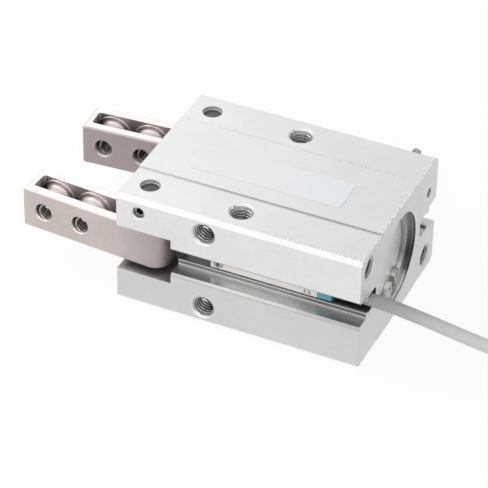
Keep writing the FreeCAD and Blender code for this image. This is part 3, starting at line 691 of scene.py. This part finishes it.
def body_material():
    """Pale anodised aluminium: brushed in the slots, turned in the bore's mouth, burred at the band; painted
    shade in recesses, on the lower sides and towards the tail on the level faces; painted highlights on
    edges, the slots' lips and the bore's rim.
    """
    material, tree, shader, place = new_material("body_aluminium")
    axes = split(tree, place)
    normal = face_normal(tree)
    marks = tool_marks(tree, place, (420, 2600, 2600))
    edge, rounded = edge_wear_and_highlight(tree, place, 0.13)
    colour = mottled(tree, mixed_marks(tree, marks, 0.5), 0.38, 0.62,
                     (0.81, 0.81, 0.805), (0.865, 0.865, 0.86))
    # painted shade: the level faces darker towards the tail
    level_face = ranged(tree, unsigned(tree, normal[2]), 0.9, 0.98)
    tailwards = ranged_mm(tree, axes[0], -20.0, BODY_TAIL, 0.975, 0.885)
    colour = blended(tree, level_face, colour, toned(tree, colour, tailwards))

    slot = slot_mask(tree, axes, normal)
    colour = blended(tree, slot, colour, slot_colour(tree, place, axes))
    out = distance_from_bore(tree, place)
    bore = bore_mask(tree, axes, out)
    colour = blended(tree, bore, colour, bore_colour(tree, place, axes))

    near_step_shade, shaded_burr, glinting_burr = band_lines(tree, place, axes)
    # painted shade along the near step; the burrs painted with their shade and glints
    colour = painted(tree, colour, near_step_shade, (0.30, 0.30, 0.31), 0.75)
    colour = painted(tree, colour, shaded_burr, (0.40, 0.40, 0.40), 0.6)
    colour = painted(tree, colour, glinting_burr, (1.0, 1.0, 1.0), 0.9)
    # edges painted near white: wear and painted highlight
    colour = painted(tree, colour, edge, WEAR_AND_HIGHLIGHT_WHITE, 0.8)

    # painted shade in recesses; the bore's low wall is left out of it so that its painted reflection stays
    # pale
    low_wall = times(tree, bore, ranged_mm(tree, axes[2], 6.6, 4.2), mouth_wall(tree, axes))
    shade = larger(tree, recess_shade(tree, 4.5, 0.16, 0.55, "Own"), low_wall)
    colour = shaded(tree, colour, shade, 0.07)
    # painted shade: the lower parts of the side faces darker
    side_face = ranged(tree, unsigned(tree, normal[1]), 0.8, 0.9)
    low_side = times(tree, ranged_mm(tree, axes[2], 16.5, 10.8), minus(tree, 1.0, slot), side_face)
    colour = toned_where(tree, colour, low_side, 0.83)
    colour = slot_bevel_tone(tree, colour, axes)
    # painted highlight along the bore's rim and the slots' lips
    rim = times(tree, ranged_mm(tree, out, 11.2, 11.1), ranged_mm(tree, axes[0], 27.08, 27.15))
    painted_highlights = larger(tree, lip_highlight_lines(tree, axes), rim)
    colour = painted(tree, colour, painted_highlights, WEAR_AND_HIGHLIGHT_WHITE)

    worked = larger(tree, slot, bore)
    roughness = ranged(tree, marks["Streaks"], 0.3, 0.7, 0.42, 0.52)
    roughness = minus(tree, roughness, times(tree, worked, 0.13))
    roughness = minus(tree, roughness, times(tree, edge, 0.12))
    height = plus(tree, times(tree, marks["Streaks"], 0.3), times(tree, marks["Specks"], 0.5))
    height = minus(tree, height, times(tree, shaded_burr, 2.0))
    height = plus(tree, height, times(tree, glinting_burr, 2.0))
    feed(tree, shader, colour, roughness, height, 0.01, 0.5, rounded)
    # less metallic on the bore's low wall and the painted highlights, so that their painted light shows as
    # colour
    metallic = ranged(tree, worked, 0.0, 1.0, 0.5, 0.9)
    metallic = minus(tree, metallic, times(tree, low_wall, 0.6))
    metallic = minus(tree, metallic, times(tree, painted_highlights, 0.6))
    tree.links.new(metallic, shader.inputs["Metallic"])
    return material


def finger_material():
    """Warm grey plated steel: satin sides, painted shade on the inner sides, ground pale tops, painted
    highlights on edges and on upward round faces, painted shade in the pocket and towards the heel.
    """
    material, tree, shader, place = new_material("finger_steel")
    axes = split(tree, place)
    normal = face_normal(tree)
    marks = tool_marks(tree, place, (900, 1400, 1400))
    edge, rounded = edge_wear_and_highlight(tree, place, 0.22)
    colour = mottled(tree, mixed_marks(tree, marks, 0.4), 0.36, 0.64,
                     (0.60, 0.525, 0.50), (0.66, 0.58, 0.555))
    # painted shade on the inner sides, that face the other finger
    outwards = times(tree, normal[1], calc(tree, "SIGN", axes[1]))
    colour = painted(tree, colour, ranged(tree, outwards, -0.5, -0.7), (0.44, 0.375, 0.365))
    upwards = ranged(tree, normal[2], 0.9, 0.98)
    ground = times(tree, upwards, ranged_mm(tree, axes[2], UNDER_FINGER_TOP, UNDER_FINGER_TOP + 0.2))
    grinding = tool_marks(tree, place, (3000, 300, 300))["Streaks"]
    pale = mottled(tree, grinding, 0.4, 0.6, (0.83, 0.78, 0.75), (0.92, 0.87, 0.84))
    colour = blended(tree, ground, colour, pale)
    # edges painted light: wear and painted highlight
    colour = painted(tree, colour, edge, FINGER_WEAR_AND_HIGHLIGHT, 0.85)

    # painted highlight on round faces turned upwards below the top
    round_normal = split(tree, add(tree, "NewGeometry").outputs["Normal"])
    below_top = ranged_mm(tree, axes[2], UNDER_FINGER_TOP, UNDER_FINGER_TOP - 0.2)
    upward_highlight = times(tree, ranged(tree, round_normal[2], 0.2, 0.85), below_top)
    colour = painted(tree, colour, upward_highlight, (0.90, 0.83, 0.80))
    # painted shade in the pocket and recesses, kept lighter under the painted highlight
    shade = larger(tree, recess_shade(tree, 5.0, 0.12, 0.5), times(tree, upward_highlight, 0.66))
    colour = shaded(tree, colour, shade, 0.2)
    # painted highlight on the edges again, over the shade
    colour = painted(tree, colour, edge, FINGER_WEAR_AND_HIGHLIGHT, 0.45)
    # painted shade towards the heel
    colour = toned(tree, colour, ranged_mm(tree, axes[0], -31.0, -19.0, 1.0, 0.72))
    roughness = ranged(tree, marks["Specks"], 0.0, 1.0, 0.34, 0.42)
    roughness = minus(tree, roughness, times(tree, edge, 0.15))
    feed(tree, shader, colour, roughness, marks["Specks"], 0.008, 0.4, rounded)
    # less metallic under the painted highlight
    tree.links.new(ranged(tree, upward_highlight, 0.0, 1.0, 0.7, 0.25), shader.inputs["Metallic"])
    return material


def turned_material(name, light, dark, rough, metallic):
    """Turned face: fine rings round the cylinder's axis, edges painted paler as wear and painted highlight,
    painted shade in recesses.
    """
    material, tree, shader, place = new_material(name)
    out = distance_from_bore(tree, place)
    rings = noise(tree, add(tree, "CombineXYZ", {0: times(tree, out, 5200)}).outputs[0], 2.0)
    marks = tool_marks(tree, place, FINE_GRAIN)
    edge, rounded = edge_wear_and_highlight(tree, place, 0.12)
    tone = plus(tree, times(tree, rings, 0.6), times(tree, marks["Patches"], 0.4))
    colour = mottled(tree, tone, 0.36, 0.62, dark, light)
    # edges painted paler: wear and painted highlight
    colour = painted(tree, colour, edge, (0.93, 0.93, 0.92), 0.4)
    # painted shade in recesses
    colour = shaded(tree, colour, recess_shade(tree, 3.5, 0.2, 0.85), 0.3)
    roughness = satin(tree, rings, rough)
    feed(tree, shader, colour, roughness, rings, 0.006, 0.4, rounded)
    shader.inputs["Metallic"].default_value = metallic
    return material


def ring_material():
    """Spring steel of the retaining ring: a painted highlight on its edges, painted light and shade by
    height like the bore round it, lighter low down where its ends are.
    """
    material, tree, shader, place = new_material("ring_steel")
    height = split(tree, place)[2]
    marks = tool_marks(tree, place, (300, 300, 300))
    edge, rounded = edge_wear_and_highlight(tree, place, 0.16)
    colour = mottled(tree, marks["Patches"], 0.35, 0.65, (0.70, 0.69, 0.67), (0.84, 0.83, 0.81))
    # painted light and shade by height, lighter below 8.8 mm where the ring's ends are
    tone = larger(tree, bore_light_and_shade(tree, height), ranged_mm(tree, height, 8.8, 7.2))
    colour = shaded(tree, colour, tone, 0.3)
    # painted highlight on the edges, over the shade
    colour = painted(tree, colour, edge, (0.98, 0.98, 0.97))
    roughness = ranged(tree, marks["Patches"], 0.3, 0.7, 0.16, 0.24)
    feed(tree, shader, colour, roughness, marks["Specks"], 0.002, 0.2, rounded)
    shader.inputs["Metallic"].default_value = 0.75
    return material


def window_material():
    """Clear window of the switch's lamp: pale lens between two lines of painted shade at the frame's sides.
    """
    material, tree, shader, place = new_material("window_lens")
    marks = tool_marks(tree, place, FINE_GRAIN)
    aside = unsigned(tree, minus(tree, split(tree, place)[0], WINDOW_X * MM))
    colour = mottled(tree, marks["Patches"], 0.3, 0.7, (0.80, 0.78, 0.75), (0.90, 0.88, 0.86))
    # painted shade at the frame's two sides
    colour = painted(tree, colour, line_mask(tree, aside, 0.5, 0.18, 0.05), (0.3, 0.29, 0.28))
    roughness = ranged(tree, marks["Specks"], 0.0, 1.0, 0.12, 0.22)
    feed(tree, shader, colour, roughness, marks["Specks"], 0.003, 0.2)
    shader.inputs["Coat Weight"].default_value = 0.6
    return material


def label_material():
    """Thin silvery film, bare, with a faint sheen, a little bluer towards the tail."""
    material, tree, shader, place = new_material("label_film")
    marks = tool_marks(tree, place, (500, 500, 500))
    edge = edge_wear_and_highlight(tree, place, 0.25)[0]
    tailwards = ranged_mm(tree, split(tree, place)[0], -12.0, 16.0)
    film = blended(tree, tailwards, rgba((0.85, 0.85, 0.845)), rgba((0.86, 0.89, 0.93)))
    cloudy = blended(tree, tailwards, rgba((0.82, 0.82, 0.82)), rgba((0.82, 0.85, 0.89)))
    colour = blended(tree, ranged(tree, marks["Patches"], 0.35, 0.65), cloudy, film)
    colour = painted(tree, colour, edge, (0.62, 0.64, 0.67), 0.45)
    roughness = ranged(tree, marks["Patches"], 0.3, 0.7, 0.3, 0.4)
    feed(tree, shader, colour, roughness, marks["Patches"], 0.02, 0.2)
    shader.inputs["Metallic"].default_value = 0.25
    shader.inputs["Coat Weight"].default_value = 0.3
    shader.inputs["Coat Roughness"].default_value = 0.2
    return material


def core_material(name, light, dark, side):
    """Stripped core: coloured vinyl with bare copper beyond the sleeve's end."""
    material, tree, shader, place = new_material(name)
    marks = tool_marks(tree, place, FINE_GRAIN)
    out = way_at(COIL_EXIT)
    start = out * (COIL_TURN + side * CORE_ASIDE) + left_of(out) * LEAD_TAIL
    start = point(COIL_X, COIL_Y, 0) + start * MM
    way = left_of(way_at(COIL_EXIT - side * CORE_SPLAY))
    sleeve_end = way.dot(start) + CORE_SLEEVE * MM
    run = add(tree, "VectorMath", {0: place, 1: way}, operation="DOT_PRODUCT").outputs["Value"]
    bare = ranged(tree, run, sleeve_end - 0.02 * MM, sleeve_end + 0.02 * MM)
    vinyl = mottled(tree, marks["Patches"], 0.3, 0.7, dark, light)
    copper = mottled(tree, marks["Streaks"], 0.4, 0.6, (0.62, 0.30, 0.16), (0.90, 0.52, 0.33))
    colour = blended(tree, bare, vinyl, copper)
    roughness = ranged(tree, bare, 0.0, 1.0, 0.42, 0.3)
    feed(tree, shader, colour, roughness, marks["Specks"], 0.01, 0.3)
    tree.links.new(bare, shader.inputs["Metallic"])
    return material


def lead_material():
    """Warm grey vinyl jacket, matt, with handling marks and painted shade near the switch."""
    material, tree, shader, place = new_material("lead_jacket")
    marks = tool_marks(tree, place, (500, 1500, 1500))
    colour = mottled(tree, marks["Patches"], 0.3, 0.7, (0.64, 0.63, 0.625), (0.71, 0.70, 0.695))
    dirt = ranged(tree, marks["Specks"], 0.75, 1.0, 0.0, 0.3)
    colour = painted(tree, colour, dirt, (0.40, 0.38, 0.37))
    # painted shade: darker near the switch, below x 45 mm
    colour = toned(tree, colour, ranged_mm(tree, split(tree, place)[0], 31.0, 45.0, 0.62, 0.97))
    roughness = ranged(tree, marks["Specks"], 0.0, 1.0, 0.42, 0.55)
    feed(tree, shader, colour, roughness, marks["Streaks"], 0.02, 0.3)
    return material


def make_materials():
    lengthwise = (160, 3200, 3200)
    upright = (3200, 3200, 160)
    return {
        "body_aluminium": body_material(),
        "body_thread": thread_material("body_thread", (0.90, 0.90, 0.89), (0.78, 0.78, 0.77), 0.2,
                                       edge_width=0.08, reach=4.5, crest_highlight=0.75, tail_hole_shade=0.06),
        "finger_steel": finger_material(),
        "finger_thread": thread_material("finger_thread", (0.80, 0.72, 0.69), (0.66, 0.59, 0.56), 0.22,
                                         edge_width=0.06, reach=3.5, crest_highlight=0.3),
        "pin_steel": metal("pin_steel", (0.12, 0.12, 0.12), (0.045, 0.045, 0.045), 0.34, EVEN_GRAIN,
                           edge_colour=(0.4, 0.4, 0.39), deep_tone=0.3),
        "screw_steel": metal("screw_steel", (0.56, 0.55, 0.54), (0.3, 0.29, 0.285), 0.2, EVEN_GRAIN,
                             edge_colour=(0.95, 0.94, 0.93), deep_tone=0.15),
        "head_steel": metal("head_steel", (0.5, 0.5, 0.49), (0.36, 0.36, 0.36), 0.34, upright),
        "rod_steel": metal("rod_steel", (0.86, 0.86, 0.87), (0.76, 0.76, 0.77), 0.12, EVEN_GRAIN,
                           depth=0.003),
        "piston_aluminium": turned_material("piston_aluminium", (0.80, 0.80, 0.78), (0.66, 0.66, 0.65),
                                            0.36, 0.9),
        "cap_aluminium": turned_material("cap_aluminium", (0.84, 0.835, 0.83), (0.74, 0.74, 0.735),
                                         0.38, 0.7),
        "seal_rubber": plastic("seal_rubber", (0.045, 0.045, 0.045), (0.02, 0.02, 0.02), 0.5),
        "bumper_rubber": plastic("bumper_rubber", (0.07, 0.07, 0.075), (0.035, 0.035, 0.04), 0.55),
        "magnet": plastic("magnet", (0.09, 0.085, 0.085), (0.05, 0.045, 0.045), 0.45),
        "bush_brass": metal("bush_brass", (0.72, 0.54, 0.30), (0.56, 0.40, 0.20), 0.3, lengthwise),
        "nipple_brass": metal("nipple_brass", (0.60, 0.59, 0.57), (0.34, 0.33, 0.32), 0.16, EVEN_GRAIN,
                              edge_colour=(0.95, 0.95, 0.94), deep_tone=0.15),
        "ring_steel": ring_material(),
        "switch_plastic": plastic("switch_plastic", (0.94, 0.915, 0.89), (0.86, 0.835, 0.81), 0.42),
        "switch_cap_plastic": plastic("switch_cap_plastic", (0.17, 0.46, 0.56), (0.09, 0.31, 0.40),
                                      0.25, coat=0.5),
        "lead_jacket": lead_material(),
        "core_brown": core_material("core_brown", (0.17, 0.065, 0.03), (0.10, 0.035, 0.016), -1),
        "core_blue": core_material("core_blue", (0.02, 0.09, 0.36), (0.012, 0.05, 0.22), 1),
        "window_lens": window_material(),
        "tie_nylon": plastic("tie_nylon", (0.035, 0.035, 0.037), (0.018, 0.018, 0.02), 0.4),
        "label_film": label_material()}


def dress_nodes(materials):
    for part in frame["record"]["subparts"]:
        mesh = NODES[part["node"]].data
        mesh.materials.clear()
        mesh.materials.append(materials[part["material_slot"]])


# Tools for the pieces that are modelled here


def deselect():
    bpy.ops.object.select_all(action="DESELECT")


def activate(piece):
    deselect()
    piece.select_set(True)
    bpy.context.view_layer.objects.active = piece


def discard(piece):
    activate(piece)
    bpy.ops.object.delete()


def joined(pieces):
    """The first piece with all the others joined to it."""
    deselect()
    for piece in pieces:
        piece.select_set(True)
    bpy.context.view_layer.objects.active = pieces[0]
    if len(pieces) > 1:
        bpy.ops.object.join()
    return pieces[0]


def apply_modifiers(piece):
    activate(piece)
    for modifier in list(piece.modifiers):
        bpy.ops.object.modifier_apply(modifier=modifier.name)


def soften(piece, width, segments):
    """Rounds the piece's edges; width in millimetres."""
    rounded = piece.modifiers.new("rounded", "BEVEL")
    rounded.width = width * MM
    rounded.segments = segments
    apply_modifiers(piece)


def select_parts(kind, parts, wanted):
    """In edit mode, selects the edges or faces that are wanted."""
    bpy.ops.object.mode_set(mode="EDIT")
    bpy.ops.mesh.select_mode(type=kind)
    bpy.ops.mesh.select_all(action="DESELECT")
    bpy.ops.object.mode_set(mode="OBJECT")
    for part in parts:
        part.select = bool(wanted(part))
    bpy.ops.object.mode_set(mode="EDIT")


def new_block(size, middle=(0, 0, 0)):
    """A block of this size round its middle, in millimetres."""
    deselect()
    bpy.ops.mesh.primitive_cube_add(size=1.0)
    block = bpy.context.object
    bpy.ops.object.mode_set(mode="EDIT")
    bpy.ops.mesh.select_all(action="SELECT")
    bpy.ops.transform.resize(value=[length * MM for length in size], center_override=(0, 0, 0))
    bpy.ops.transform.translate(value=point(*middle))
    bpy.ops.object.mode_set(mode="OBJECT")
    return block


def finish_piece(piece, name, material, body):
    piece.name = name
    piece.data.name = name
    piece.data.materials.clear()
    piece.data.materials.append(material)
    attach(piece, body)


# Thread turns of the tapped holes


def cut_mouth(ridge, mouth, height, way):
    """Cuts the ridge back with the countersink's cone."""
    bpy.ops.mesh.primitive_cone_add(vertices=CONE_STEPS, radius1=mouth * MM, radius2=0.0, depth=mouth * MM,
                                    rotation=(math.pi if way > 0 else 0.0, 0, 0),
                                    location=(0, 0, (height - way * mouth / 2) * MM))
    cone = bpy.context.object
    cut = ridge.modifiers.new("mouth", "BOOLEAN")
    cut.operation = "DIFFERENCE"
    cut.solver = "EXACT"
    cut.object = cone
    apply_modifiers(ridge)
    discard(cone)


def thread_turns(root, crest, pitch, mouth, length, through=False):
    """Thin helical ridge of a tapped hole that opens at the origin towards +Z."""
    deselect()
    bpy.ops.mesh.primitive_plane_add(size=1.0, rotation=(math.pi / 2, 0, 0))
    ridge = bpy.context.object
    bpy.ops.object.transform_apply(location=True, rotation=True, scale=True)
    deep = root + RIDGE_SINK - crest
    turns = math.floor(length / pitch)
    bpy.ops.object.mode_set(mode="EDIT")
    bpy.ops.mesh.select_all(action="SELECT")
    bpy.ops.transform.resize(value=(deep * MM, 1, pitch * RIDGE_SHARE * MM), center_override=(0, 0, 0))
    bpy.ops.mesh.delete(type="ONLY_FACE")
    bpy.ops.mesh.select_all(action="SELECT")
    bpy.ops.transform.translate(value=((crest + deep / 2) * MM, 0, -turns * pitch * MM))
    bpy.ops.object.mode_set(mode="OBJECT")
    screw = ridge.modifiers.new("turns", "SCREW")
    screw.axis = "Z"
    screw.angle = math.tau
    screw.screw_offset = pitch * MM
    screw.iterations = turns
    screw.steps = TURN_STEPS
    screw.render_steps = TURN_STEPS
    apply_modifiers(ridge)
    bpy.ops.object.mode_set(mode="EDIT")
    bpy.ops.mesh.select_all(action="SELECT")
    bpy.ops.mesh.fill_holes(sides=4)
    bpy.ops.mesh.select_all(action="SELECT")
    bpy.ops.mesh.normals_make_consistent(inside=False)
    bpy.ops.object.mode_set(mode="OBJECT")
    cut_mouth(ridge, mouth, 0.0, 1)
    if through:
        cut_mouth(ridge, mouth, -length, -1)
    return ridge


def copies_at(master, places, name):
    """One object with a copy of the master at each place: mouth and outward way."""
    made = []
    for mouth, way in places:
        turn = Vector(way).to_track_quat("Z", "X").to_matrix().to_4x4()
        mesh = master.data.copy()
        mesh.transform(Matrix.Translation(point(*mouth)) @ turn)
        copy = bpy.data.objects.new(name, mesh)
        bpy.context.scene.collection.objects.link(copy)
        made.append(copy)
    return joined(made)


def body_threads(materials):
    places = [((BODY_TAIL, y, z), (1, 0, 0)) for y, z in TAIL_HOLES]
    for side in (-1, 1):
        places.append(((FLAT_HOLE_X, side * FLAT_HOLE_Y, BODY_TOP), (0, 0, 1)))
        places.append(((FLAT_HOLE_X, side * FLAT_HOLE_Y, BODY_BOTTOM), (0, 0, -1)))
        for rise in (-SIDE_HOLE_RISE, SIDE_HOLE_RISE):
            places.append(((SIDE_HOLE_X, side * BODY_SIDE, BODY_MIDDLE + rise), (0, side, 0)))
    port = [((PORT_X, BODY_SIDE, PORT_Z), (0, 1, 0))]
    kinds = (("mounting_threads", MOUNT_DEPTH, places), ("port_thread", PORT_DEPTH, port))
    for name, length, mouths in kinds:
        master = thread_turns(**M5_THREAD, length=length)
        threads = copies_at(master, mouths, name)
        finish_piece(threads, name, materials["body_thread"], "housing")
        discard(master)


def finger_threads(materials):
    master = thread_turns(**M4_THREAD, length=2 * FINGER_HALF, through=True)
    rest = math.radians(FINGER_REST)
    for side, hand in ((-1, "left"), (1, "right")):
        places = []
        for along in FINGER_HOLES:
            x = PIVOT_X - along * math.cos(rest) - FINGER_HALF * math.sin(rest)
            y = PIVOT_Y + along * math.sin(rest) + FINGER_HALF * math.cos(rest)
            places.append(((x, side * y, FINGER_Z), (math.sin(rest), side * math.cos(rest), 0)))
        name = "finger_" + hand + "_threads"
        threads = copies_at(master, places, name)
        finish_piece(threads, name, materials["finger_thread"], hand + "_finger")
    discard(master)


# Window of the switch's lamp, and the tie round the stored coil


def switch_window(materials):
    """Rounded clear window in a shallow frame, on the switch's outer face near its cap."""
    window = new_block(WINDOW_SIZE)
    select_parts("FACE", window.data.polygons, lambda face: face.normal.y < -0.9)
    bpy.ops.mesh.inset(thickness=WINDOW_FRAME * MM)
    bpy.ops.transform.translate(value=point(0, WINDOW_DIP, 0))
    bpy.ops.mesh.inset(thickness=LENS_RIM * MM)
    bpy.ops.transform.translate(value=point(0, -LENS_RISE, 0))
    bpy.ops.mesh.select_all(action="SELECT")
    bpy.ops.transform.translate(value=point(WINDOW_X, SWITCH_FACE_Y, WINDOW_Z))
    bpy.ops.object.mode_set(mode="OBJECT")
    soften(window, width=0.04, segments=3)
    finish_piece(window, "switch_window", materials["window_lens"], "housing")


# Tie: band, head and loose end, in millimetres
TIE_ANGLE = 100.0
TIE_WIDTH = 2.5
TIE_THICK = 0.3
TIE_CORNER = 1.5
TIE_HEAD = (2.6, 3.8, 3.6)
TIE_HEAD_OUT = 1.2
TIE_END = (TIE_THICK * 1.2, TIE_WIDTH, 7.0)
TIE_END_OUT = 1.6
TIE_END_RISE = 2.6


def tie_band(half_wide, half_high):
    """Band with rounded corners round the coil's section."""
    band = new_block((2 * half_wide, TIE_WIDTH, 2 * half_high))
    select_parts("FACE", band.data.polygons, lambda face: abs(face.normal.y) > 0.9)
    bpy.ops.mesh.delete(type="FACE")
    bpy.ops.object.mode_set(mode="OBJECT")
    corners = band.data.vertices

    def across(edge):
        first, second = edge.vertices
        return abs(corners[first].co.y - corners[second].co.y) > TIE_WIDTH / 2 * MM

    select_parts("EDGE", band.data.edges, across)
    bpy.ops.mesh.bevel(offset=TIE_CORNER * MM, segments=6, affect="EDGES")
    bpy.ops.mesh.select_all(action="SELECT")
    bpy.ops.mesh.normals_make_consistent(inside=False)
    bpy.ops.object.mode_set(mode="OBJECT")
    thick = band.modifiers.new("thick", "SOLIDIFY")
    thick.thickness = TIE_THICK * MM
    thick.offset = -1.0
    soften(band, width=0.06, segments=2)
    return band


def coil_tie(materials):
    """Thin nylon tie round the coil's section, with its head and loose end on the outer side."""
    half_wide = COIL_STEP * (COIL_COLUMNS - 1) / 2 + LEAD_RADIUS + TIE_THICK
    half_high = COIL_STEP * (COIL_ROWS - 1) / 2 + LEAD_RADIUS
    middle = COIL_TURN - COIL_STEP * (COIL_COLUMNS - 1) / 2
    band = tie_band(half_wide, half_high)
    head = new_block(TIE_HEAD, (half_wide + TIE_HEAD_OUT, 0, 0))
    soften(head, width=0.5, segments=3)
    end = new_block(TIE_END, (half_wide + TIE_END_OUT, 0, TIE_END_RISE))
    soften(end, width=0.06, segments=2)
    tie = joined([band, head, end])
    turn = Matrix.Rotation(math.radians(TIE_ANGLE), 4, "Z")
    centre = point(COIL_X, COIL_Y, half_high) + way_at(TIE_ANGLE) * middle * MM
    tie.data.transform(Matrix.Translation(centre) @ turn)
    finish_piece(tie, "coil_tie", materials["tie_nylon"], "housing")
    return tie


# Studio: pale floor, soft lamps and a pale surround
LAMP_AIM = Vector((0, 0, 0.014))


def soft_lamp(name, place, size, power):
    """Square lamp aimed at the body's middle; place and size in metres, power in watts."""
    data = bpy.data.lights.new(name, "AREA")
    data.shape = "SQUARE"
    data.size = size
    data.energy = power
    lamp = bpy.data.objects.new(name, data)
    bpy.context.scene.collection.objects.link(lamp)
    lamp.location = place
    lamp.rotation_mode = "QUATERNION"
    lamp.rotation_quaternion = (LAMP_AIM - Vector(place)).to_track_quat("-Z", "Y")


def make_floor():
    """Pale paper that shows nearly white to the camera and in mirrored light, and keeps the shadow."""
    deselect()
    bpy.ops.mesh.primitive_plane_add(size=6.0)
    floor = bpy.context.object
    floor.name = "floor"
    material, tree, shader, _ = new_material("floor_paper")
    shader.inputs["Base Color"].default_value = rgba((0.93, 0.93, 0.93))
    shader.inputs["Roughness"].default_value = 0.9
    rays = add(tree, "LightPath").outputs
    seen = times(tree, rays["Is Camera Ray"], 0.86)
    mirrored = times(tree, rays["Is Glossy Ray"], 0.6)
    glow = add(tree, "Emission", {"Color": rgba((1, 1, 1)), "Strength": 1.03}).outputs[0]
    mixed = add(tree, "MixShader", {0: larger(tree, seen, mirrored), 1: shader.outputs[0], 2: glow})
    tree.links.new(mixed.outputs[0], tree.nodes["Material Output"].inputs["Surface"])
    floor.data.materials.append(material)


def make_surround():
    """White behind the object, brighter upwards where metal mirrors it, a plain light on matt faces."""
    world = bpy.data.worlds.new("surround")
    bpy.context.scene.world = world
    world.use_nodes = True
    tree = world.node_tree
    background = tree.nodes["Background"]
    rays = add(tree, "LightPath").outputs
    way = split(tree, add(tree, "TexCoord").outputs["Generated"])
    mirrored = times(tree, rays["Is Glossy Ray"], ranged(tree, way[2], 0.0, 0.65, 0.3, 1.15))
    matt = times(tree, rays["Is Diffuse Ray"], 0.55)
    seen = larger(tree, rays["Is Camera Ray"], rays["Is Transmission Ray"])
    strength = larger(tree, larger(tree, seen, mirrored), matt)
    tree.links.new(strength, background.inputs["Strength"])
    background.inputs["Color"].default_value = rgba((1, 1, 1))


materials = make_materials()
dress_nodes(materials)
lead.data.materials.append(materials["lead_jacket"])
body_threads(materials)
finger_threads(materials)
switch_window(materials)
tie = coil_tie(materials)
make_floor()
make_surround()
soft_lamp("key", (-0.20, -0.08, 0.21), 0.2, 0.23)
soft_lamp("back", (-0.45, 0.50, 0.50), 0.4, 0.35)
soft_lamp("fill", (0.18, -0.66, 0.32), 0.5, 1.25)

bpy.context.scene.view_settings.view_transform = "Standard"
